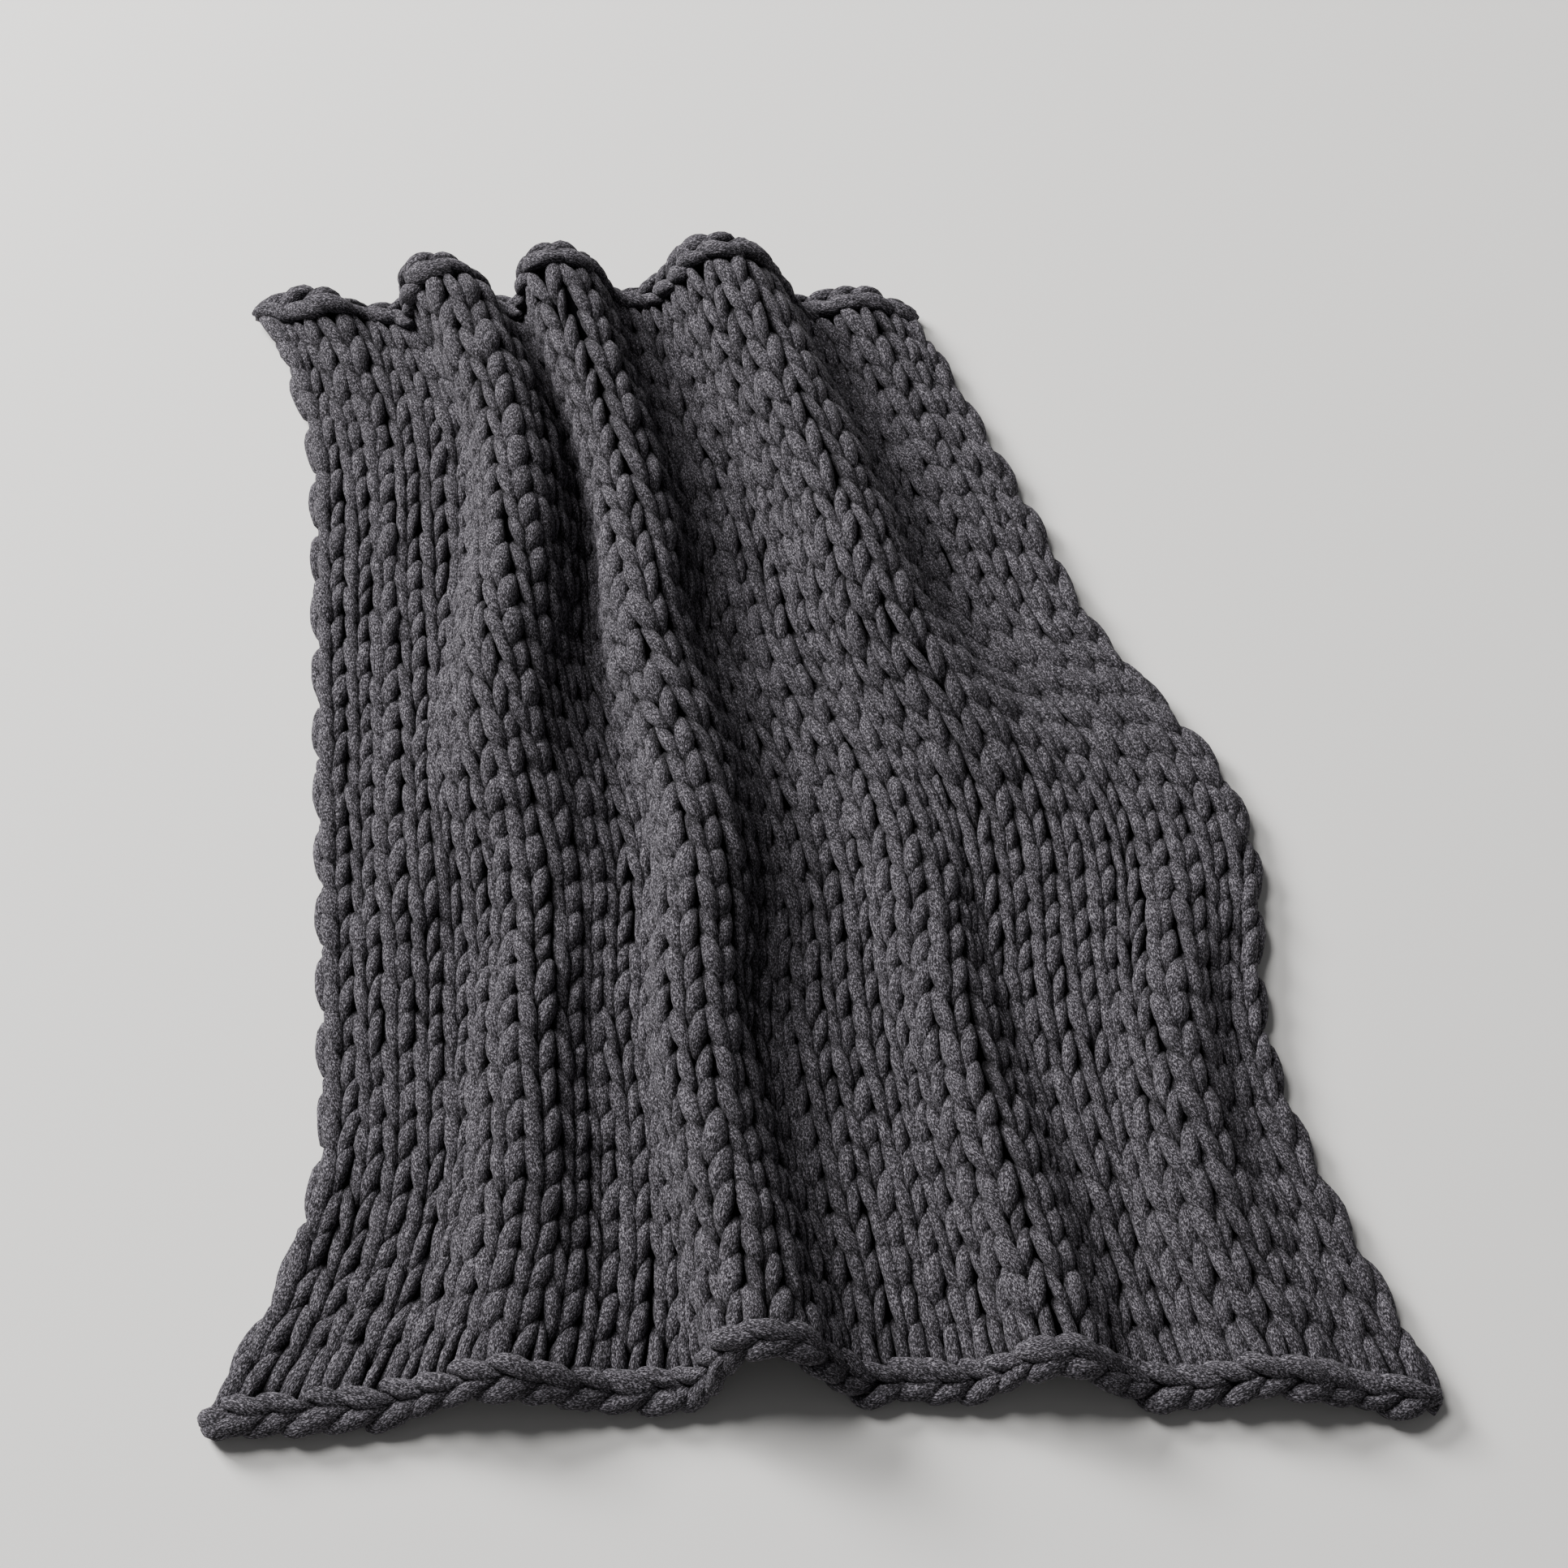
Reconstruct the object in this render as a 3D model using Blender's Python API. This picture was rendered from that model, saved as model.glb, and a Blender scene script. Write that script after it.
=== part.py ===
"""A chunky hand-knit blanket, spread out on a floor with its long soft pleats left in.

Metres, +Z up. +Y runs along the columns of stitches, from the chained front edge to the far one.
The origin lies on the floor, in the middle of the blanket's outline.
"""

import math
from collections import namedtuple

import bmesh
import bpy
import numpy as np

# Driving dimensions of the cut
WIDTH = 1.27  # across the columns of stitches
LENGTH = 1.52  # along them, with both borders
THICKNESS = 0.036  # a rib is two layers of yarn
COLUMNS = 36  # columns of stitches on the face
ROWS = 34  # rows of stitches between the borders
BORDER = 0.045  # the chain along the front and the far edge

# Relief of the face
RIB_DEPTH = 0.005  # how deep the grooves between columns lie
BORDER_RISE = 0.004  # how far the border chain stands over the face
BORDER_GROOVE = 0.006  # how deep the groove behind the border lies
EDGE_SHARE = 0.42  # share of the thickness left at the rounded edge
CORNER_ROUND = 0.55  # how far a corner point is drawn in, as a share of the way to its neighbours

# How the blanket is spread
LEFT_FLARE = 0.150  # how far the front left corner is drawn out
RIGHT_FLARE = 0.065  # and the front right one
FRONT_REACH = 0.36  # how far from the front edge that begins
FAR_FLARE = 0.085  # how far the far left corner is drawn out
FAR_REACH = 0.30  # how far from the far edge that begins
FLARE_POWER = 1.3  # above 1, the outer columns fan out the most
FAR_SQUEEZE = 0.060  # how much closer the columns lie at the far edge, as a share
DRIFT = 0.115  # how far to the right the front edge lies of the far one
CORNER_PULL = 0.030  # how far both front corners lie in front of the middle
SET_BACK = 0.35  # how far the front edge lies back where it rises, as a share of the rise
FAR_WAVE = 0.012  # unevenness of the far edge
FAR_WAVES = 1.3  # waves of it across the width
FAR_PHASE = 0.7

# A ridge is a long soft fold. v is the distance from the front edge, u the place across the cloth,
# and s runs from 0 at its far end to 1 at its near end. bow and sway bend its line to a C and an S.
# steep is the slope of its flanks in degrees, half is the cloth from foot to crest, and lean tips
# its crest sideways.
Ridge = namedtuple(
    "Ridge",
    "name far_v near_v far_u near_u bow sway steep_far steep_mid steep_near half_far half_near lean",
)
RIDGES = (
    Ridge("left pleat", 1.52, 0.50, -0.320, -0.420, 0.045, 0.020, 92, 66, 0, 0.140, 0.150, -0.10),
    Ridge("middle pleat", 1.52, 0.00, -0.035, -0.085, -0.025, 0.025, 84, 74, 66, 0.142, 0.130, -0.14),
    Ridge("right pleat", 1.52, 0.64, 0.295, 0.385, -0.020, 0.010, 66, 62, 0, 0.182, 0.110, 0.08),
    Ridge("seat fold", 0.98, 0.00, 0.165, 0.240, 0.020, -0.010, 0, 46, 44, 0.080, 0.105, 0.10),
    Ridge("skirt fold", 0.84, 0.00, -0.340, -0.370, -0.030, 0.010, 0, 42, 26, 0.080, 0.120, -0.05),
    Ridge("right swell", 0.80, 0.00, 0.520, 0.480, 0.010, 0.012, 0, 44, 20, 0.070, 0.100, 0.05),
    Ridge("far curl", 1.52, 0.96, 0.550, 0.555, 0.000, 0.000, 30, 14, 0, 0.072, 0.075, 0.05),
    Ridge("left swell", 1.08, 0.30, -0.520, -0.540, 0.010, 0.010, 0, 18, 0, 0.070, 0.080, 0.00),
    Ridge("corner wave", 1.52, 1.30, -0.548, -0.552, 0.000, 0.000, 40, 16, 0, 0.068, 0.060, 0.00),
)

# Fineness
FINE_PER_COLUMN = 10  # steps across a column when a fold is added up
POINTS_PER_COLUMN = 2  # groove and crest
ROWS_PER_STEP = 2
TANGENT_STEP = 0.004

YARN_COLOUR = (0.071, 0.070, 0.078, 1.0)
YARN_ROUGHNESS = 0.95


def eased(share):
    """0 to 1 with no kink at either end."""
    share = np.clip(share, 0.0, 1.0)
    return share * share * (3.0 - 2.0 * share)


def mixed(start, end, share):
    return start + (end - start) * share


def ridge_slope(ridge, u, v):
    """The angle of the cloth, in radians, that one ridge gives it along the row at v."""
    s = (ridge.far_v - v) / (ridge.far_v - ridge.near_v)
    if s < 0.0 or s > 1.0:
        return np.zeros_like(u)
    crest = mixed(ridge.far_u, ridge.near_u, s) + ridge.bow * math.sin(math.pi * s)
    crest += ridge.sway * math.sin(2.0 * math.pi * s)
    half = mixed(ridge.half_far, ridge.half_near, s)
    if s < 0.5:
        steep = mixed(ridge.steep_far, ridge.steep_mid, eased(2.0 * s))
    else:
        steep = mixed(ridge.steep_mid, ridge.steep_near, eased(2.0 * s - 1.0))
    t = (u - crest) / half
    return np.where(np.abs(t) < 1.0, -math.radians(steep) * np.sin(math.pi * t), 0.0)


def summed(values, step):
    """The running sum of values that lie step apart, starting at 0."""
    return np.concatenate([[0.0], np.cumsum((values[1:] + values[:-1]) * step / 2.0)])


def outer(u):
    """0 at the middle of the cloth, 1 at its right edge."""
    return np.clip(2.0 * u / WIDTH, 0.0, 1.0) ** FLARE_POWER


def row_at(v):
    """The middle of the cloth along the row at v, as points from the left edge to the right one."""
    u = np.linspace(-WIDTH / 2, WIDTH / 2, COLUMNS * FINE_PER_COLUMN + 1)
    step = u[1] - u[0]
    near = max(0.0, 1.0 - v / FRONT_REACH) ** 2
    far = max(0.0, 1.0 - (LENGTH - v) / FAR_REACH) ** 2
    squeeze = 1.0 - FAR_SQUEEZE * float(eased(v / LENGTH))
    x = DRIFT * (1.0 - v / LENGTH) + (u + WIDTH / 2) * squeeze - WIDTH / 2
    x += RIGHT_FLARE * near * outer(u) - (LEFT_FLARE * near + FAR_FLARE * far) * outer(-u)
    rise = np.zeros_like(u)
    for ridge in RIDGES:
        slope = ridge_slope(ridge, u, v)
        climb = summed(np.sin(slope), step)
        x += ridge.lean * climb - squeeze * summed(1.0 - np.cos(slope), step)
        rise += climb
    pull = CORNER_PULL * near * (2.0 * u / WIDTH) ** 2
    wave = FAR_WAVE * (v / LENGTH) ** 2 * np.sin(2.0 * math.pi * FAR_WAVES * u / WIDTH + FAR_PHASE)
    y = v - LENGTH / 2 - pull + wave + SET_BACK * near * rise
    return np.stack([x, y, THICKNESS / 2 + rise], axis=1)


def normals_at(v):
    """The upward normals of the cloth at the points of row_at(v)."""
    across = np.gradient(row_at(v), axis=0)
    along = row_at(min(v + TANGENT_STEP, LENGTH)) - row_at(max(v - TANGENT_STEP, 0.0))
    normal = np.cross(across, along)
    return normal / np.linalg.norm(normal, axis=1)[:, None]


def stations():
    """Each step along the length, as (v, relief of the face there, whether ribs run through it)."""
    found = [(0.0, 0.0, False), (BORDER / 2, BORDER_RISE, False), (BORDER, -BORDER_GROOVE, False)]
    steps = ROWS // ROWS_PER_STEP
    pitch = (LENGTH - 2 * BORDER) / steps
    found += [(BORDER + pitch * k, 0.0, True) for k in range(1, steps)]
    found += [(LENGTH - v, relief, ribbed) for v, relief, ribbed in reversed(found[:3])]
    return found


def faces_of(stitch_points, count_v):
    """The face and the back of the cloth as two grids of points."""
    picked = slice(None, None, FINE_PER_COLUMN // POINTS_PER_COLUMN)
    groove = np.arange(stitch_points) % POINTS_PER_COLUMN == 0
    tops, bottoms = [], []
    for index, (v, relief, ribbed) in enumerate(stations()):
        middle, normal = row_at(v)[picked], normals_at(v)[picked]
        half = np.full(stitch_points, THICKNESS / 2)
        half[[0, -1]] *= EDGE_SHARE
        if index in (0, count_v - 1):
            half[:] = THICKNESS / 2 * EDGE_SHARE
        rise = np.where(groove & ribbed, -RIB_DEPTH, relief)
        rise[[0, -1]] = 0.0
        tops.append(middle + normal * (half + rise)[:, None])
        bottoms.append(middle - normal * half[:, None])
    return np.array(tops), np.array(bottoms)


def with_round_corners(grid):
    """The grid of points with its four corner points drawn in."""
    eased_in = grid.copy()
    for j, beside_j in ((0, 1), (-1, -2)):
        for i, beside_i in ((0, 1), (-1, -2)):
            inward = (grid[beside_j, i] + grid[j, beside_i]) / 2.0 - grid[j, i]
            eased_in[j, i] = grid[j, i] + CORNER_ROUND * inward
    return eased_in


def blanket_mesh():
    """The closed mesh of the cloth: face, back, and the rounded edge that joins them."""
    count_u = COLUMNS * POINTS_PER_COLUMN + 1
    count_v = len(stations())
    top, bottom = (with_round_corners(grid) for grid in faces_of(count_u, count_v))
    corners = np.concatenate([top.reshape(-1, 3), bottom.reshape(-1, 3)])
    middle = (corners.min(axis=0) + corners.max(axis=0)) / 2
    shift = np.array([middle[0], middle[1], 0.0])
    work = bmesh.new()
    upper = [[work.verts.new(p - shift) for p in row] for row in top]
    lower = [[work.verts.new(p - shift) for p in row] for row in bottom]
    for j in range(count_v - 1):
        for i in range(count_u - 1):
            work.faces.new((upper[j][i], upper[j][i + 1], upper[j + 1][i + 1], upper[j + 1][i]))
            work.faces.new((lower[j][i], lower[j + 1][i], lower[j + 1][i + 1], lower[j][i + 1]))
    for j in (0, count_v - 1):
        for i in range(count_u - 1):
            work.faces.new((upper[j][i], upper[j][i + 1], lower[j][i + 1], lower[j][i]))
    for i in (0, count_u - 1):
        for j in range(count_v - 1):
            work.faces.new((upper[j][i], upper[j + 1][i], lower[j + 1][i], lower[j][i]))
    bmesh.ops.recalc_face_normals(work, faces=work.faces)
    mesh = bpy.data.meshes.new("blanket")
    work.to_mesh(mesh)
    work.free()
    mesh.shade_smooth()
    return mesh


def yarn_material():
    material = bpy.data.materials.new("charcoal_chenille")
    material.use_nodes = True
    shader = material.node_tree.nodes["Principled BSDF"]
    shader.inputs["Base Color"].default_value = YARN_COLOUR
    shader.inputs["Roughness"].default_value = YARN_ROUGHNESS
    return material


def main():
    for old in list(bpy.data.objects):
        bpy.data.objects.remove(old)
    blanket = bpy.data.objects.new("blanket", blanket_mesh())
    blanket.data.materials.append(yarn_material())
    bpy.context.scene.collection.objects.link(blanket)


main()
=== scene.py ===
"""The looks of the chunky knit blanket: its yarn, stitch by stitch, with its stage, light and camera.

Metres, +Z up. u runs across the flat cloth and v along it from the front edge, as they do in the
part's source. h is the height over the middle of the cloth.
"""

import math
from collections import namedtuple

import bpy
import numpy as np
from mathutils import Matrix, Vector


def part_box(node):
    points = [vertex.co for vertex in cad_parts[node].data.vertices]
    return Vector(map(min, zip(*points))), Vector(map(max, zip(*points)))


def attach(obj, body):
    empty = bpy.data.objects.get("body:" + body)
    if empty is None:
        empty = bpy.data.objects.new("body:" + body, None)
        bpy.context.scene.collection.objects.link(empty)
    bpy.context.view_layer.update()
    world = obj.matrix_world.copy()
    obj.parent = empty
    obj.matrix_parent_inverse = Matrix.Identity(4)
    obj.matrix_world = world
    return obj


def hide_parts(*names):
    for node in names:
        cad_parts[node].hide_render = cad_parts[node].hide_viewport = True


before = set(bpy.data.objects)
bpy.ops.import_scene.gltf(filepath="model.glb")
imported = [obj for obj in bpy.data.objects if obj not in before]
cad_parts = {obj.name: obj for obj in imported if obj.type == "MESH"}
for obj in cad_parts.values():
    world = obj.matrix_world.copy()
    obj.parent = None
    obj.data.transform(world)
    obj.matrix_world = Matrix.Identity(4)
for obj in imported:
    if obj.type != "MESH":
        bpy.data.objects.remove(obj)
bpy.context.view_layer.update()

# The cut, as in the part's source
WIDTH = 1.27
LENGTH = 1.52
THICKNESS = 0.036
COLUMNS = 36
ROWS = 34
BORDER = 0.045
COLUMN_PITCH = WIDTH / COLUMNS
FIRST_FEET = 0.030  # where the first row starts, under the chain along the front edge
ROW_PITCH = (LENGTH - BORDER - FIRST_FEET) / ROWS

# How the blanket is spread, as in the part's source
LEFT_FLARE = 0.150
RIGHT_FLARE = 0.065
FRONT_REACH = 0.36
FAR_FLARE = 0.085
FAR_REACH = 0.30
FLARE_POWER = 1.3
FAR_SQUEEZE = 0.060
DRIFT = 0.115
CORNER_PULL = 0.030
SET_BACK = 0.35
FAR_WAVE = 0.012
FAR_WAVES = 1.3
FAR_PHASE = 0.7
Ridge = namedtuple(
    "Ridge",
    "name far_v near_v far_u near_u bow sway steep_far steep_mid steep_near half_far half_near lean",
)
RIDGES = (
    Ridge("left pleat", 1.52, 0.50, -0.320, -0.420, 0.045, 0.020, 92, 66, 0, 0.140, 0.150, -0.10),
    Ridge("middle pleat", 1.52, 0.00, -0.035, -0.085, -0.025, 0.025, 84, 74, 66, 0.142, 0.130, -0.14),
    Ridge("right pleat", 1.52, 0.64, 0.295, 0.385, -0.020, 0.010, 66, 62, 0, 0.182, 0.110, 0.08),
    Ridge("seat fold", 0.98, 0.00, 0.165, 0.240, 0.020, -0.010, 0, 46, 44, 0.080, 0.105, 0.10),
    Ridge("skirt fold", 0.84, 0.00, -0.340, -0.370, -0.030, 0.010, 0, 42, 26, 0.080, 0.120, -0.05),
    Ridge("right swell", 0.80, 0.00, 0.520, 0.480, 0.010, 0.012, 0, 44, 20, 0.070, 0.100, 0.05),
    Ridge("far curl", 1.52, 0.96, 0.550, 0.555, 0.000, 0.000, 30, 14, 0, 0.072, 0.075, 0.05),
    Ridge("left swell", 1.08, 0.30, -0.520, -0.540, 0.010, 0.010, 0, 18, 0, 0.070, 0.080, 0.00),
    Ridge("corner wave", 1.52, 1.30, -0.548, -0.552, 0.000, 0.000, 40, 16, 0, 0.068, 0.060, 0.00),
)

# Fineness
GRID_U = 361
GRID_V = 217
STITCH_STEPS = 2  # rings for each bend of the yarn
STITCH_SIDES = 14
CHAIN_STEPS = 3
CHAIN_SIDES = 20
ROWS_PER_BAND = 7

# A bend is a point on the right half of a stitch. x is a share of the column pitch from the middle
# of the column, y a share of the row pitch from the foot of the stitch, h its height in metres.
# wide and deep are half the yarn's width along the cloth and through it, in metres.
Bend = namedtuple("Bend", "name x y h wide deep")
STITCH = (
    Bend("sinker", 0.50, -0.16, -0.0095, 0.0072, 0.0076),
    Bend("foot", 0.17, -0.22, -0.0010, 0.0056, 0.0062),
    Bend("rise", 0.13, 0.10, 0.0072, 0.0073, 0.0076),
    Bend("belly", 0.22, 0.56, 0.0098, 0.0099, 0.0094),
    Bend("shoulder", 0.32, 1.04, 0.0078, 0.0079, 0.0082),
    Bend("tail", 0.36, 1.34, 0.0010, 0.0057, 0.0064),
    Bend("head", 0.00, 1.50, -0.0092, 0.0070, 0.0076),
)
# The first row comes straight out of the chain along the front edge
FIRST_STITCH = (
    Bend("sinker", 0.50, -0.16, -0.0095, 0.0072, 0.0076),
    Bend("foot", 0.25, -0.20, -0.0010, 0.0080, 0.0080),
    Bend("rise", 0.24, 0.10, 0.0055, 0.0088, 0.0084),
    Bend("belly", 0.25, 0.50, 0.0095, 0.0092, 0.0090),
    *STITCH[4:],
)
# A link is one loop of the chain along an edge. x is across the border, y along it.
CHAIN_ENDS = 0.6  # how much of the chain its two ends take, in links
LINK_PITCH = WIDTH / (COLUMNS + CHAIN_ENDS)
LINK_START = 0.10  # of the first one, from the corner
LINK_WIDTH = 0.050
CHAIN_ROLL = 24.0  # degrees that the chain is rolled over the edge
TIP_START = 0.012  # how far before the last link's tip the chain starts to droop
TIP_REACH = 0.026  # and the length over which it does
TIP_SAG = 0.0042  # how far its tip droops
LINK = (
    Bend("back", 0.00, 0.45, -0.0092, 0.0084, 0.0080),
    Bend("foot", 0.05, -0.20, -0.0010, 0.0064, 0.0068),
    Bend("rise", 0.07, 0.14, 0.0080, 0.0084, 0.0084),
    Bend("belly", 0.19, 0.60, 0.0104, 0.0114, 0.0104),
    Bend("shoulder", 0.31, 1.08, 0.0084, 0.0092, 0.0092),
    Bend("tail", 0.27, 1.38, 0.0005, 0.0070, 0.0072),
    Bend("head", 0.00, 1.46, -0.0060, 0.0076, 0.0076),
)
# The end of the yarn, drawn through the last link
FASTENED = (
    Bend("back", 0.00, -0.45, -0.0090, 0.0080, 0.0076),
    Bend("through", 0.00, -0.22, 0.0010, 0.0080, 0.0080),
    Bend("over", 0.00, 0.08, 0.0088, 0.0108, 0.0100),
    Bend("down", 0.00, 0.46, 0.0030, 0.0104, 0.0100),
    Bend("end", 0.00, 0.66, -0.0058, 0.0080, 0.0076),
)
# The yarn's turn at the side from one row to the next: x from the middle of the last column
TURN = (
    Bend("leave", 0.36, -0.42, -0.0085, 0.0072, 0.0076),
    Bend("bulge", 0.53, -0.12, -0.0030, 0.0084, 0.0088),
    Bend("side", 0.57, 0.36, 0.0010, 0.0094, 0.0098),
    Bend("rear", 0.54, 0.86, -0.0030, 0.0084, 0.0088),
    Bend("enter", 0.36, 1.12, -0.0085, 0.0072, 0.0076),
)

# Unevenness of the hand knitting
SEED = 20
EDGE_STRAY = 0.0030  # how far the line between two columns strays sideways
FOOT_STRAY = 0.16  # how far a column's stitches slip along it, as a share of the row pitch
CALM_ROWS = 2.5  # rows at the front and the far edge over which that slip fades in
Wave = namedtuple("Wave", "share shortest longest")  # its periods are counted in rows
WAVES = (Wave(0.75, 11.0, 26.0), Wave(0.45, 4.5, 9.0))
COLUMN_FATNESS = 0.08  # of all legs down one side of a column, as a share of their width
FATNESS = 0.11  # of each leg, as a share of its width
FAT_DEPTH = 0.5  # how much of a leg's fatness its depth takes
SLIDE = 0.06  # of each leg along its column, as a share of the row pitch
LEAN = 0.045  # of each leg sideways, as a share of the column pitch
LIFT = 0.0015  # of each leg off the cloth
DRAW_LIMIT = 2.2  # the most of any of these that a leg gets, as a multiple
LUMPS = 0.10  # of the yarn's surface, as a share of its width

ROOM_LIMITS = (0.8, 1.45)  # the least and the most that a flare or a bend counts
WIDENING = 0.75  # how much the yarn widens with the room, as a power

# What the yarn's material reads at each point: how open to the light it is, which sets the painted
# shade on its colour, and its place in the yarn as if that were pulled straight
SHADE_PAINT_ATTRIBUTE = "open"
STRAIGHT = "straight"

# Painted shade: the yarn's colour is made darker low in the knit than on it
INNER_HEIGHT = 0.006  # up to this height the painted shade is darkest
OUTER_HEIGHT = 0.0185  # and from this one the yarn has its full colour, with no painted shade
EDGE_REACH = 0.026  # how far in from an edge the painted shade fades out, as if the light still reached there
# the share of the yarn's colour that the painted shade leaves where it is darkest
INNER_SHADE = 0.18

# A thin near-black sheet in the middle of the knit, painted shade that shows in the gaps between its
# loops
SHADE_SHEET_INSET = 0.030
SHADE_SHEET_HALF = 0.001
SHADE_SHEET_U = 91
SHADE_SHEET_V = 101

# Colours, linear
YARN_DARK = (0.0050, 0.0047, 0.0055, 1.0)
YARN_MIDDLE = (0.0360, 0.0337, 0.0390, 1.0)
YARN_LIGHT = (0.320, 0.301, 0.341, 1.0)
# painted shade: the near-black of the sheet that shows in the knit's gaps
SHADE_SHEET_COLOUR = (0.006, 0.006, 0.007, 1.0)
FLOOR_COLOUR = (0.82, 0.81, 0.79, 1.0)
DAYLIGHT = (1.0, 0.99, 0.98)
SURROUND_COLOUR = (0.94, 0.94, 0.95, 1.0)

# Each noise: its scale for each metre, how many finer layers it has, and how much they count
Noise = namedtuple("Noise", "scale detail roughness")
FIBRES = Noise(720.0, 3.0, 0.66)
PATCHES = Noise(38.0, 2.0, 0.5)
PILE_LUMPS = Noise(150.0, 1.0, 0.5)
# the flecks of the painted shade on the sheet in the knit
SHADE_SHEET_FLECKS = Noise(420.0, 3.0, 0.65)

# The yarn's material
FIBRE_STRETCH = 0.50  # how finely the fibres change along the yarn, as a share of across it
FIBRE_STOPS = ((0.34, YARN_DARK), (0.50, YARN_MIDDLE), (0.70, YARN_LIGHT))
PATCH_TONES = (0.76, 1.24)  # of the darkest and the lightest patch
BUMP_STRENGTH = 0.9
BUMP_DEPTH = 0.0019
YARN_SURFACE = {
    "Roughness": 0.95,
    "Specular IOR Level": 0.10,
    "Sheen Weight": 0.08,
    "Sheen Roughness": 0.50,
    "Sheen Tint": (0.80, 0.78, 0.84, 1.0),
}

# The other materials
# the painted shade of the sheet in the knit, from black to its near-black colour
SHADE_SHEET_STOPS = ((0.0, (0.0, 0.0, 0.0, 1.0)), (1.0, SHADE_SHEET_COLOUR))
SHADE_SHEET_SURFACE = {"Roughness": 1.0, "Specular IOR Level": 0.0}
FLOOR_SURFACE = {"Base Color": FLOOR_COLOUR, "Roughness": 0.9, "Specular IOR Level": 0.2}

# The stage: a wide floor under a dim surround that is brighter at the horizon
FLOOR_HALF = 90.0
HORIZON_STRENGTH = 0.60
HORIZON_BAND = 0.30  # how high the brighter band reaches, as the sine of its height
SURROUND_STRENGTH = 0.11  # above that band

# The lights: a soft window and broad daylight, both from the far left and aimed at the origin
WINDOW_PLACE = (-5.8, 4.8, 4.2)
WINDOW_POWER = 1640.0
WINDOW_SIZE = 3.0
DAY_PLACE = (-1.5, 1.4, 2.8)
DAY_POWER = 1.9
DAY_SPREAD = 20.0  # degrees

# Camera: azimuth and elevation in degrees, and the lens as a share of the picture's width
CAMERA_AZIMUTH = -1.0
CAMERA_ELEVATION = 61.0
CAMERA_DISTANCE = 3.4
CAMERA_LENS = 1.80
CAMERA_AIM = (0.0, 0.0, 0.05)
SENSOR = 36.0


def eased(share):
    """0 to 1 with no kink at either end."""
    share = np.clip(share, 0.0, 1.0)
    return share * share * (3.0 - 2.0 * share)


def mixed(start, end, share):
    return start + (end - start) * share


def summed(values, step):
    """The running sum of values that lie step apart, starting at 0."""
    return np.concatenate([[0.0], np.cumsum((values[1:] + values[:-1]) * step / 2.0)])


def outer(u):
    """0 at the middle of the cloth, 1 at its right edge."""
    return np.clip(2.0 * u / WIDTH, 0.0, 1.0) ** FLARE_POWER


def ridge_slope(ridge, u, v):
    """The angle of the cloth, in radians, that one ridge gives it along the row at v."""
    s = (ridge.far_v - v) / (ridge.far_v - ridge.near_v)
    if s < 0.0 or s > 1.0:
        return np.zeros_like(u)
    crest = mixed(ridge.far_u, ridge.near_u, s) + ridge.bow * math.sin(math.pi * s)
    crest += ridge.sway * math.sin(2.0 * math.pi * s)
    half = mixed(ridge.half_far, ridge.half_near, s)
    if s < 0.5:
        steep = mixed(ridge.steep_far, ridge.steep_mid, eased(2.0 * s))
    else:
        steep = mixed(ridge.steep_mid, ridge.steep_near, eased(2.0 * s - 1.0))
    t = (u - crest) / half
    return np.where(np.abs(t) < 1.0, -math.radians(steep) * np.sin(math.pi * t), 0.0)


def row_at(v):
    """The middle of the cloth along the row at v, as points from the left edge to the right one."""
    u = np.linspace(-WIDTH / 2, WIDTH / 2, GRID_U)
    step = u[1] - u[0]
    near = max(0.0, 1.0 - v / FRONT_REACH) ** 2
    far = max(0.0, 1.0 - (LENGTH - v) / FAR_REACH) ** 2
    squeeze = 1.0 - FAR_SQUEEZE * float(eased(v / LENGTH))
    x = DRIFT * (1.0 - v / LENGTH) + (u + WIDTH / 2) * squeeze - WIDTH / 2
    x += RIGHT_FLARE * near * outer(u) - (LEFT_FLARE * near + FAR_FLARE * far) * outer(-u)
    rise = np.zeros_like(u)
    for ridge in RIDGES:
        slope = ridge_slope(ridge, u, v)
        climb = summed(np.sin(slope), step)
        x += ridge.lean * climb - squeeze * summed(1.0 - np.cos(slope), step)
        rise += climb
    pull = CORNER_PULL * near * (2.0 * u / WIDTH) ** 2
    wave = FAR_WAVE * (v / LENGTH) ** 2 * np.sin(2.0 * math.pi * FAR_WAVES * u / WIDTH + FAR_PHASE)
    y = v - LENGTH / 2 - pull + wave + SET_BACK * near * rise
    return np.stack([x, y, THICKNESS / 2 + rise], axis=1)


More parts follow.
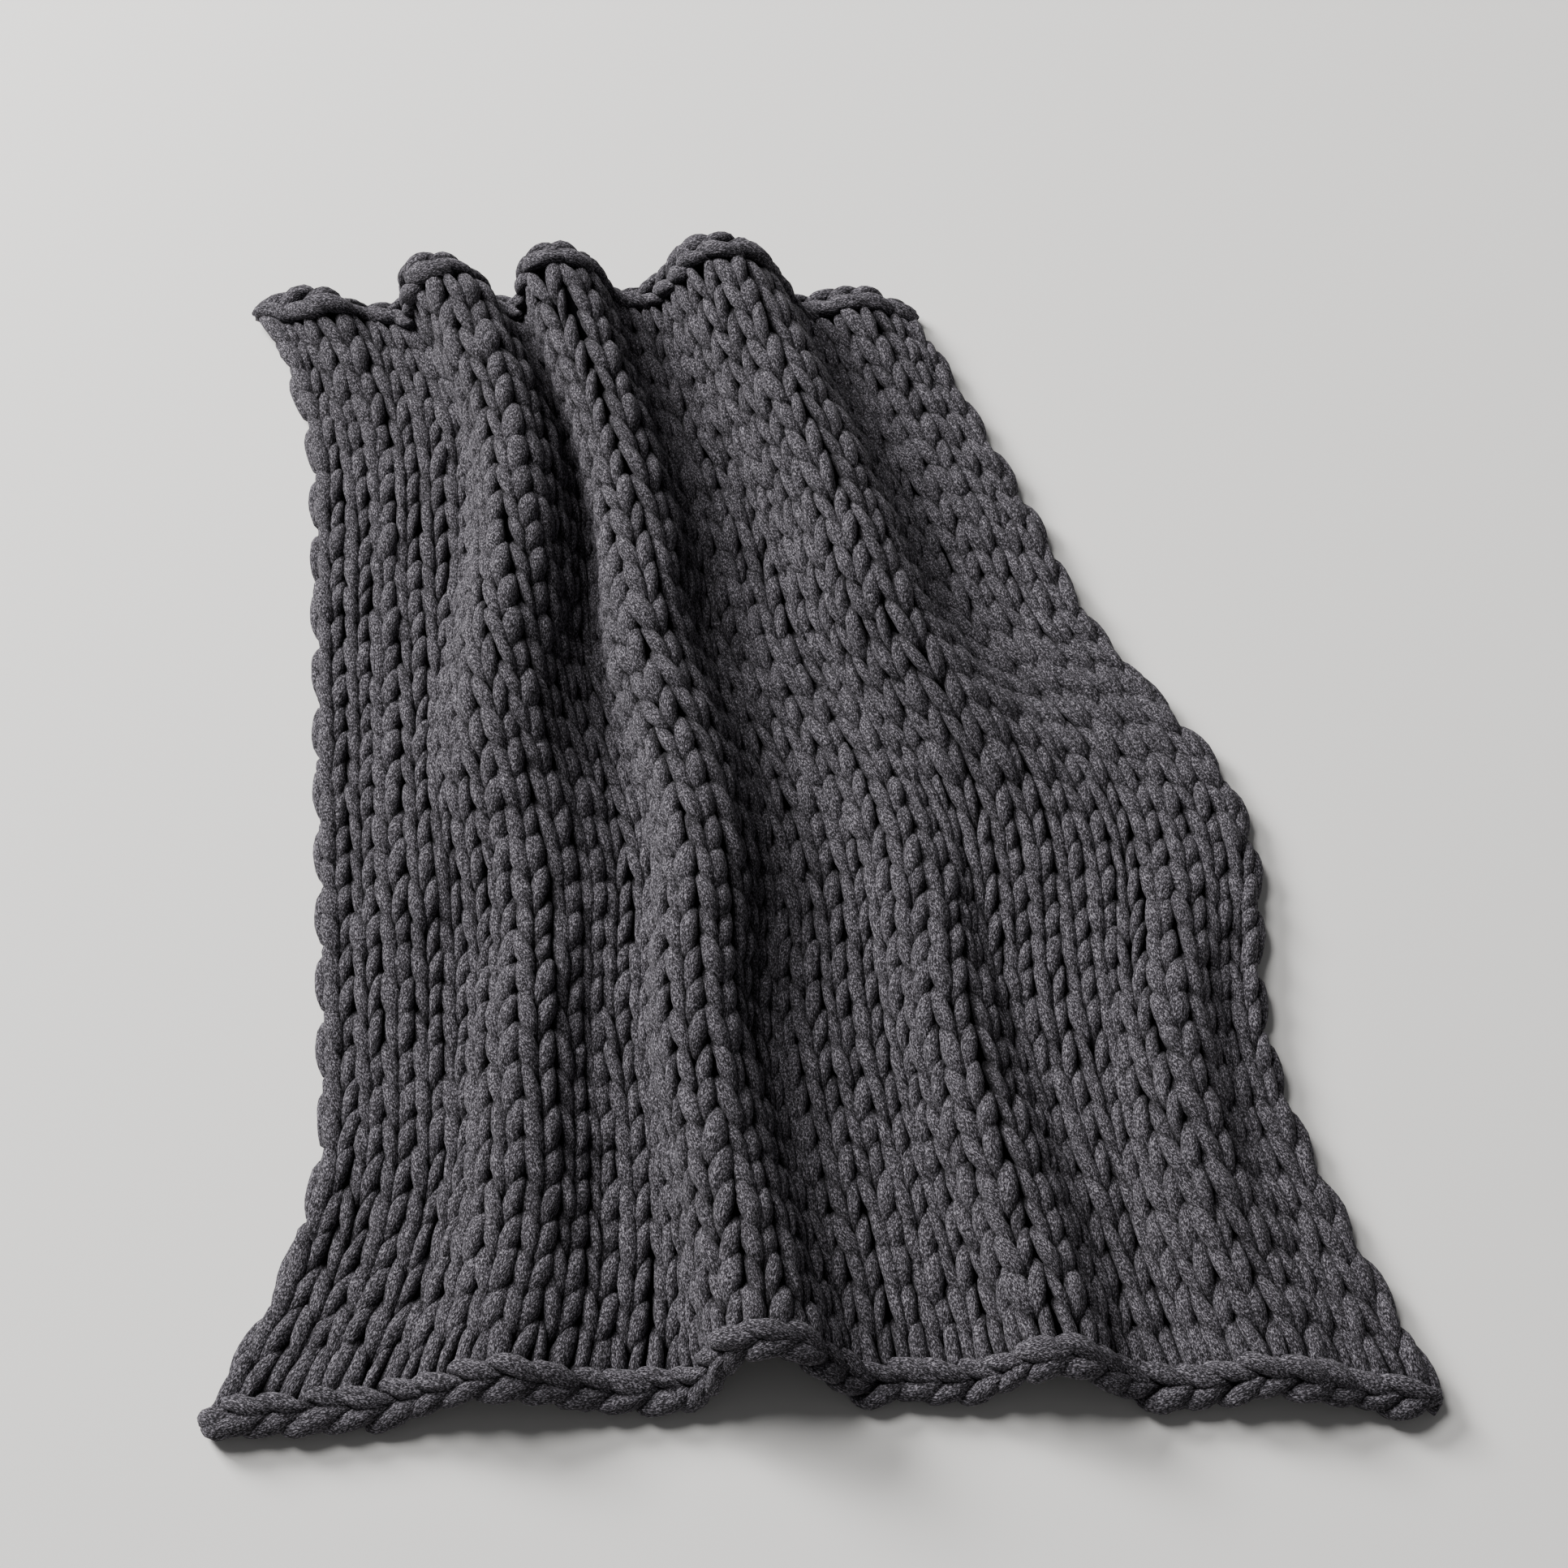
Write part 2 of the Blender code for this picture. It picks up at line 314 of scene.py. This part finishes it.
class Cloth:
    """The middle of the cloth as a fine grid, which a flat place (u, v) and a height h are read from."""

    def __init__(self):
        grid = np.array([row_at(v) for v in np.linspace(0.0, LENGTH, GRID_V)])
        low, high = grid.min(axis=(0, 1)), grid.max(axis=(0, 1))
        box_low, box_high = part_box("blanket")
        shift = (np.array(box_low) + np.array(box_high) - low - high) / 2.0
        self.points = grid + np.array([shift[0], shift[1], 0.0])
        normal = np.cross(np.gradient(grid, axis=1), np.gradient(grid, axis=0))
        self.normals = normal / np.linalg.norm(normal, axis=2)[..., None]

    def read(self, grid, u, v):
        """grid at the places (u, v), straight on past the edges."""
        across = (u / WIDTH + 0.5) * (GRID_U - 1)
        along = v / LENGTH * (GRID_V - 1)
        i = np.clip(np.floor(across).astype(int), 0, GRID_U - 2)
        j = np.clip(np.floor(along).astype(int), 0, GRID_V - 2)
        a, b = (across - i)[:, None], (along - j)[:, None]
        near = grid[j, i] * (1.0 - a) + grid[j, i + 1] * a
        far = grid[j + 1, i] * (1.0 - a) + grid[j + 1, i + 1] * a
        return near * (1.0 - b) + far * b

    def normal(self, u, v):
        found = self.read(self.normals, np.clip(u, -WIDTH / 2, WIDTH / 2), np.clip(v, 0.0, LENGTH))
        return found / np.linalg.norm(found, axis=1)[:, None]

    def place(self, u, v, h):
        return self.read(self.points, u, v) + self.normal(u, v) * h[:, None]

    def room(self, u, v, h):
        """How far a flare or a bend draws the cloth out across its columns, as a factor."""
        step = COLUMN_PITCH / 2
        apart = self.place(u + step, v, h) - self.place(u - step, v, h)
        return np.clip(np.linalg.norm(apart, axis=1) / (2.0 * step), *ROOM_LIMITS)


def smooth_path(bends, steps):
    """The smooth curve through the rows of bends, with that many steps from each to the next."""
    first, last = 2.0 * bends[:1] - bends[1:2], 2.0 * bends[-1:] - bends[-2:-1]
    padded = np.concatenate([first, bends, last])
    a, b, c, d = padded[:-3], padded[1:-2], padded[2:-1], padded[3:]
    pieces = []
    for step in range(steps):
        t = step / steps
        pieces.append(
            b
            + (c - a) * t / 2.0
            + (a - 2.5 * b + 2.0 * c - 0.5 * d) * t**2
            + (1.5 * b - 0.5 * a - 1.5 * c + 0.5 * d) * t**3
        )
    curve = np.stack(pieces, axis=1).reshape(-1, bends.shape[1])
    return np.concatenate([curve, bends[-1:]])


def painted_shade_openness(u, v, heights):
    """1 where a point of the yarn is open to the light, 0 deep in the knit, where its painted shade is
    darkest.
    """
    out_of_cloth = eased((np.abs(heights) - INNER_HEIGHT) / (OUTER_HEIGHT - INNER_HEIGHT))
    to_edge = np.minimum(WIDTH / 2 - np.abs(u), np.minimum(v, LENGTH - v))
    return np.maximum(out_of_cloth, 1.0 - eased(to_edge / EDGE_REACH)[:, None])


def tube_faces(count, sides):
    """The faces of a tube of count rings of points, closed at both ends."""
    ring = np.arange(sides)
    start = (np.arange(count - 1) * sides)[:, None]
    here, beside = start + ring, start + (ring + 1) % sides
    quads = np.stack([here, here + sides, beside + sides, beside], axis=2).reshape(-1, 4)
    ends = [ring.tolist(), (ring[::-1] + (count - 1) * sides).tolist()]
    return quads.tolist() + ends


def tube(cloth, path, sides, rng):
    """The yarn that follows path, whose columns are u, v, h, wide and deep.

    Gives its points, its faces, how open to the light each point is, which sets its painted shade, and
    its place in the yarn as if that were pulled straight.
    """
    u, v, h, wide, deep = path.T
    centre = cloth.place(u, v, h)
    normal = cloth.normal(u, v)
    wide = wide * cloth.room(u, v, h) ** WIDENING
    ahead = np.gradient(centre, axis=0)
    side = np.cross(ahead, normal)
    side /= np.linalg.norm(side, axis=1)[:, None]
    over = np.cross(side, ahead)
    over /= np.linalg.norm(over, axis=1)[:, None]
    count = len(path)
    lumps = 1.0 + LUMPS * rng.standard_normal((count, sides))
    lumps = (lumps + np.roll(lumps, 1, axis=1) + np.roll(lumps, 1, axis=0)) / 3.0
    angle = 2.0 * math.pi * np.arange(sides) / sides
    sideways = wide[:, None] * np.cos(angle) * lumps
    upwards = deep[:, None] * np.sin(angle) * lumps
    out = side[:, None] * sideways[..., None] + over[:, None] * upwards[..., None]
    strides = np.linalg.norm(np.diff(centre, axis=0), axis=1)
    along = np.broadcast_to(np.concatenate([[0.0], np.cumsum(strides)])[:, None], sideways.shape)
    straight = np.stack([sideways, upwards, along], axis=2)
    heights = h[:, None] + np.einsum("ijk,ik->ij", out, normal)
    points = (centre[:, None] + out).reshape(-1, 3)
    painted_openness = painted_shade_openness(u, v, heights)
    return points, tube_faces(count, sides), painted_openness.ravel(), straight.ravel()


def halves(table):
    """The bends of a whole stitch but for its sinker, each one with the side it lies on."""
    left = [(-1.0, -bend.x, *bend[2:]) for bend in table[1:]]
    right = [(1.0, *bend[1:]) for bend in table[-2:0:-1]]
    return np.array(left + right)


def slow_waves(rng, count, size):
    """size for count neighbours in every row, as slow waves along the rows."""
    row = np.arange(ROWS + 2)[:, None]
    total = np.zeros((ROWS + 2, count))
    for wave in WAVES:
        period = rng.uniform(wave.shortest, wave.longest, count)
        phase = rng.uniform(0.0, 1.0, count)
        total += wave.share * np.sin(2.0 * math.pi * (row / period + phase))
    return size * total


def stitch_places(rng):
    """u of the lines between the columns, and v of the feet of the stitches, for every row."""
    edges = np.arange(COLUMNS + 1) * COLUMN_PITCH - WIDTH / 2
    stray = slow_waves(rng, COLUMNS + 1, EDGE_STRAY)
    stray[:, [0, -1]] = 0.0
    row = np.arange(ROWS + 2)[:, None]
    calm = eased(row / CALM_ROWS) * eased((ROWS - row) / CALM_ROWS)
    slip = slow_waves(rng, COLUMNS, FOOT_STRAY) * calm
    return edges + stray, FIRST_FEET + (row + slip) * ROW_PITCH


def leg_draws(rng, *size):
    """Fatness, slide, lean and lift, drawn for each leg of each stitch."""
    draws = np.clip(rng.standard_normal((4, *size, 2)), -DRAW_LIMIT, DRAW_LIMIT)
    return draws * np.array([FATNESS, SLIDE, LEAN, LIFT]).reshape(4, *[1] * (len(size) + 1))


def legs_of(shape, draws):
    """The x, y, h, wide and deep of each bend in shape, for each stitch that draws has values for."""
    side, x, y, h, wide, deep = shape.T
    leg = (side > 0.0).astype(int)
    front = (h > 0.0).astype(float)
    fat, slide, lean, lift = draws[..., leg] * front
    x = x + side * lean * np.clip(y, 0.0, 1.0)
    return x, y + slide, h + lift, wide * (1.0 + fat), deep * (1.0 + FAT_DEPTH * fat)


def joined(stitches, between):
    """The bends of a row of stitches, with one bend in between after each stitch but the last."""
    linked = np.concatenate([stitches[:-1], between[:, None]], axis=1)
    return np.concatenate([linked.reshape(-1, stitches.shape[2]), stitches[-1]])


def knit_row(r, edges, feet, draws):
    """The bends of one row of stitches from left to right."""
    x, y, h, wide, deep = legs_of(halves(FIRST_STITCH if r == 0 else STITCH), draws)
    low, high = edges[r][:, None], edges[r + 1][:, None]
    left, right = mixed(low[:-1], high[:-1], y), mixed(low[1:], high[1:], y)
    u = (left + right) / 2.0 + x * (right - left)
    v = mixed(feet[r][:, None], feet[r + 1][:, None], y)
    stitches = np.stack([u, v, h, wide, deep], axis=2)
    sinker = STITCH[0]
    between = np.zeros((COLUMNS - 1, stitches.shape[2]))
    between[:, 0] = edges[r, 1:-1]
    between[:, 1] = (feet[r, 1:] + feet[r, :-1]) / 2.0 + sinker.y * ROW_PITCH
    between[:, 2:] = sinker[3:]
    return joined(stitches, between)


def knit_rows(rng):
    """The bends of each row of stitches, from its left side to its right one."""
    edges, feet = stitch_places(rng)
    draws = leg_draws(rng, ROWS, COLUMNS)
    draws[0] += COLUMN_FATNESS * rng.standard_normal((1, COLUMNS, 2))
    return [knit_row(r, edges, feet, draws[:, r]) for r in range(ROWS)]


def turn_at(side, row):
    """The bends of the yarn's turn from one row to the next, at the right (1) or left (-1) side."""
    middle = side * (WIDTH - COLUMN_PITCH) / 2.0
    foot_v = FIRST_FEET + row * ROW_PITCH
    return np.array(
        [(middle + side * b.x * COLUMN_PITCH, foot_v + b.y * ROW_PITCH, *b[3:]) for b in TURN]
    )


def band_path(rows, first, last):
    """The yarn of the rows from first up to last, back and forth with its turns at the sides."""
    parts = []
    for r in range(first, last):
        rightwards = r % 2 == 0
        parts.append(rows[r] if rightwards else rows[r][::-1])
        if r < ROWS - 1:
            parts.append(turn_at(1 if rightwards else -1, r))
    if last < ROWS:
        rightwards = last % 2 == 0
        parts.append(rows[last][:1] if rightwards else rows[last][-1:])
    return smooth_path(np.concatenate(parts), STITCH_STEPS)


def chain_path(rng, middle_v, way):
    """The chain along an edge: the front one for way 1, whose loops point to the right.

    The far one, for way -1, is the same one turned half round.
    """
    x, y, h, wide, deep = legs_of(halves(LINK), leg_draws(rng, COLUMNS))
    tips = (np.arange(COLUMNS + 1)[:, None] + LINK_START) * LINK_PITCH
    links = np.stack([tips[:-1] + y * LINK_PITCH, x * LINK_WIDTH, h, wide, deep], axis=2)
    back = LINK[0]
    between = np.zeros((COLUMNS - 1, links.shape[2]))
    between[:, 0] = tips[1:-1, 0] - back.y * LINK_PITCH
    between[:, 2:] = back[3:]
    end = [(tips[-1, 0] + bend.y * LINK_PITCH, bend.x, *bend[3:]) for bend in FASTENED]
    path = smooth_path(np.concatenate([joined(links, between), end]), CHAIN_STEPS)
    along, across, height = path[:, :3].T.copy()
    roll = math.radians(CHAIN_ROLL)
    path[:, 0] = way * (WIDTH / 2 - along)
    path[:, 1] = middle_v + way * (across * math.cos(roll) - height * math.sin(roll))
    path[:, 2] = across * math.sin(roll) + height * math.cos(roll)
    path[:, 2] -= TIP_SAG * eased((along - tips[-1, 0] + TIP_START) / TIP_REACH)
    return path


def new_object(name, points, faces, material):
    mesh = bpy.data.meshes.new(name)
    mesh.from_pydata(points.tolist(), [], faces)
    mesh.validate()
    mesh.shade_smooth()
    mesh.materials.append(material)
    made = bpy.data.objects.new(name, mesh)
    bpy.context.scene.collection.objects.link(made)
    return made


def new_yarn(name, made, material):
    """An object of yarn that keeps what its material reads at each point."""
    points, faces, painted_openness, straight = made
    yarn = new_object(name, points, faces, material)
    stored = yarn.data.attributes.new(SHADE_PAINT_ATTRIBUTE, "FLOAT", "POINT")
    stored.data.foreach_set("value", painted_openness)
    stored = yarn.data.attributes.new(STRAIGHT, "FLOAT_VECTOR", "POINT")
    stored.data.foreach_set("vector", straight)
    return yarn


def painted_shade_sheet(cloth, material):
    """The thin sheet in the middle of the knit, where its loops cross, near black as painted shade in
    the gaps.
    """
    side_u = np.linspace(-WIDTH / 2 + SHADE_SHEET_INSET, WIDTH / 2 - SHADE_SHEET_INSET, SHADE_SHEET_U)
    side_v = np.linspace(SHADE_SHEET_INSET, LENGTH - SHADE_SHEET_INSET, SHADE_SHEET_V)
    v, u = (part.ravel() for part in np.meshgrid(side_v, side_u, indexing="ij"))
    height = np.full_like(u, SHADE_SHEET_HALF)
    points = np.concatenate([cloth.place(u, v, height), cloth.place(u, v, -height)])
    index = np.arange(SHADE_SHEET_U * SHADE_SHEET_V).reshape(SHADE_SHEET_V, SHADE_SHEET_U)
    a, b, c, d = index[:-1, :-1], index[:-1, 1:], index[1:, 1:], index[1:, :-1]
    top = np.stack([a, b, c, d], axis=2).reshape(-1, 4)
    under = np.stack([a, d, c, b], axis=2).reshape(-1, 4) + index.size
    rim = np.concatenate([index[0], index[1:, -1], index[-1, -2::-1], index[-2:0:-1, 0]])
    ahead = np.roll(rim, -1)
    edge = np.stack([rim, rim + index.size, ahead + index.size, ahead], axis=1)
    faces = np.concatenate([top, under, edge]).tolist()
    return new_object("gap_shade_sheet", points, faces, material)


def link_nodes(tree, *pairs):
    for source, target in pairs:
        tree.links.new(source, target)


def set_sockets(node, values):
    for socket, value in values.items():
        node.inputs[socket].default_value = value


def noise(tree, coordinates, look):
    node = tree.nodes.new("ShaderNodeTexNoise")
    set_sockets(node, {"Scale": look.scale, "Detail": look.detail, "Roughness": look.roughness})
    tree.links.new(coordinates, node.inputs["Vector"])
    return node


def attribute(tree, name):
    node = tree.nodes.new("ShaderNodeAttribute")
    node.attribute_name = name
    return node


def map_range(tree, low, high):
    node = tree.nodes.new("ShaderNodeMapRange")
    set_sockets(node, {"To Min": low, "To Max": high})
    return node


def maths(tree, operation):
    node = tree.nodes.new("ShaderNodeMath")
    node.operation = operation
    return node


def colour_ramp(tree, stops):
    """A ramp through the stops, each one its place and its colour."""
    ramp = tree.nodes.new("ShaderNodeValToRGB")
    elements = ramp.color_ramp.elements
    for element, (place, colour) in zip(elements, (stops[0], stops[-1])):
        element.position = place
        element.color = colour
    for place, colour in stops[1:-1]:
        elements.new(place).color = colour
    return ramp


def new_material(name, surface):
    """A material whose shader has the values of surface all over."""
    material = bpy.data.materials.new(name)
    material.use_nodes = True
    set_sockets(material.node_tree.nodes["Principled BSDF"], surface)
    return material


def yarn_material():
    """Heathered charcoal chenille: a short matte pile of dark and light fibres, with painted shade in
    its gaps.
    """
    material = new_material("charcoal_chenille", YARN_SURFACE)
    tree = material.node_tree
    shader = tree.nodes["Principled BSDF"]
    where = tree.nodes.new("ShaderNodeTexCoord").outputs["Object"]
    stretch = tree.nodes.new("ShaderNodeMapping")
    set_sockets(stretch, {"Scale": (1.0, 1.0, FIBRE_STRETCH)})
    fibre = noise(tree, stretch.outputs["Vector"], FIBRES)
    patch = noise(tree, where, PATCHES)
    lump = noise(tree, where, PILE_LUMPS)
    ramp = colour_ramp(tree, FIBRE_STOPS)
    tone = map_range(tree, *PATCH_TONES)
    # painted shade: a factor that darkens the yarn's colour where it lies low in the knit
    painted_shade_level = map_range(tree, INNER_SHADE, 1.0)
    both = maths(tree, "MULTIPLY")
    # the fibres' colour times the random patches and the painted shade
    shade = tree.nodes.new("ShaderNodeMix")
    shade.data_type = "RGBA"
    shade.blend_type = "MULTIPLY"
    shade.inputs["Factor"].default_value = 1.0
    pile = maths(tree, "ADD")
    bump = tree.nodes.new("ShaderNodeBump")
    set_sockets(bump, {"Strength": BUMP_STRENGTH, "Distance": BUMP_DEPTH})
    link_nodes(
        tree,
        (attribute(tree, STRAIGHT).outputs["Vector"], stretch.inputs["Vector"]),
        (attribute(tree, SHADE_PAINT_ATTRIBUTE).outputs["Fac"], painted_shade_level.inputs["Value"]),
        (fibre.outputs["Fac"], ramp.inputs["Fac"]),
        (patch.outputs["Fac"], tone.inputs["Value"]),
        (tone.outputs["Result"], both.inputs[0]),
        (painted_shade_level.outputs["Result"], both.inputs[1]),
        (ramp.outputs["Color"], shade.inputs["A"]),
        (both.outputs[0], shade.inputs["B"]),
        (shade.outputs["Result"], shader.inputs["Base Color"]),
        (fibre.outputs["Fac"], pile.inputs[0]),
        (lump.outputs["Fac"], pile.inputs[1]),
        (pile.outputs[0], bump.inputs["Height"]),
        (bump.outputs["Normal"], shader.inputs["Normal"]),
    )
    return material


def shade_sheet_material():
    """Painted shade for the gaps of the knit: a flecked near-black, which only shows in them."""
    material = new_material("painted_gap_shade", SHADE_SHEET_SURFACE)
    tree = material.node_tree
    where = tree.nodes.new("ShaderNodeTexCoord").outputs["Object"]
    fleck = noise(tree, where, SHADE_SHEET_FLECKS)
    ramp = colour_ramp(tree, SHADE_SHEET_STOPS)
    link_nodes(
        tree,
        (fleck.outputs["Fac"], ramp.inputs["Fac"]),
        (ramp.outputs["Color"], tree.nodes["Principled BSDF"].inputs["Base Color"]),
    )
    return material


def add_floor():
    corners = FLOOR_HALF * np.array([(-1, -1, 0), (1, -1, 0), (1, 1, 0), (-1, 1, 0)])
    floor = new_object("floor", corners, [[0, 1, 2, 3]], new_material("pale_floor", FLOOR_SURFACE))


def add_light(light, place, power):
    """Set up a light at place that shines at the origin."""
    light.energy = power
    light.color = DAYLIGHT
    lamp = bpy.data.objects.new(light.name, light)
    lamp.location = place
    lamp.rotation_euler = (-Vector(place)).to_track_quat("-Z", "Y").to_euler()
    bpy.context.scene.collection.objects.link(lamp)


def add_world():
    """An even dim surround that is brighter where it meets the floor."""
    world = bpy.data.worlds.new("studio")
    world.use_nodes = True
    tree = world.node_tree
    background = tree.nodes["Background"]
    background.inputs["Color"].default_value = SURROUND_COLOUR
    direction = tree.nodes.new("ShaderNodeTexCoord").outputs["Generated"]
    parts = tree.nodes.new("ShaderNodeSeparateXYZ")
    level = map_range(tree, HORIZON_STRENGTH, SURROUND_STRENGTH)
    level.inputs["From Max"].default_value = HORIZON_BAND
    link_nodes(
        tree,
        (direction, parts.inputs["Vector"]),
        (parts.outputs["Z"], level.inputs["Value"]),
        (level.outputs["Result"], background.inputs["Strength"]),
    )
    bpy.context.scene.world = world


def add_lights():
    window = bpy.data.lights.new("window_light", "AREA")
    window.shape = "SQUARE"
    window.size = WINDOW_SIZE
    add_light(window, WINDOW_PLACE, WINDOW_POWER)
    day = bpy.data.lights.new("day_light", "SUN")
    day.angle = math.radians(DAY_SPREAD)
    add_light(day, DAY_PLACE, DAY_POWER)
    add_world()


def add_camera():
    azimuth, elevation = math.radians(CAMERA_AZIMUTH), math.radians(CAMERA_ELEVATION)
    back = Vector(
        (
            math.sin(azimuth) * math.cos(elevation),
            -math.cos(azimuth) * math.cos(elevation),
            math.sin(elevation),
        )
    )
    data = bpy.data.cameras.new("camera")
    data.sensor_width = SENSOR
    data.lens = CAMERA_LENS * SENSOR
    camera = bpy.data.objects.new("camera", data)
    camera.location = Vector(CAMERA_AIM) + back * CAMERA_DISTANCE
    camera.rotation_euler = back.to_track_quat("Z", "Y").to_euler()
    bpy.context.scene.collection.objects.link(camera)
    bpy.context.scene.camera = camera


def add_blanket():
    rng = np.random.default_rng(SEED)
    cloth = Cloth()
    yarn = yarn_material()
    rows = knit_rows(rng)
    pieces = []
    for number, first in enumerate(range(0, ROWS, ROWS_PER_BAND), start=1):
        path = band_path(rows, first, min(first + ROWS_PER_BAND, ROWS))
        made = tube(cloth, path, STITCH_SIDES, rng)
        pieces.append(new_yarn(f"stitches_{number}", made, yarn))
    for name, middle_v, way in (
        ("front_chain", BORDER / 2, 1.0),
        ("far_chain", LENGTH - BORDER / 2, -1.0),
    ):
        made = tube(cloth, chain_path(rng, middle_v, way), CHAIN_SIDES, rng)
        pieces.append(new_yarn(name, made, yarn))
    # the near-black sheet that paints the shade in the knit's gaps
    shade_sheet = painted_shade_sheet(cloth, shade_sheet_material())
    for piece in (*pieces, shade_sheet):
        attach(piece, "root")
        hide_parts("blanket")


add_camera()
add_lights()
add_floor()
add_blanket()
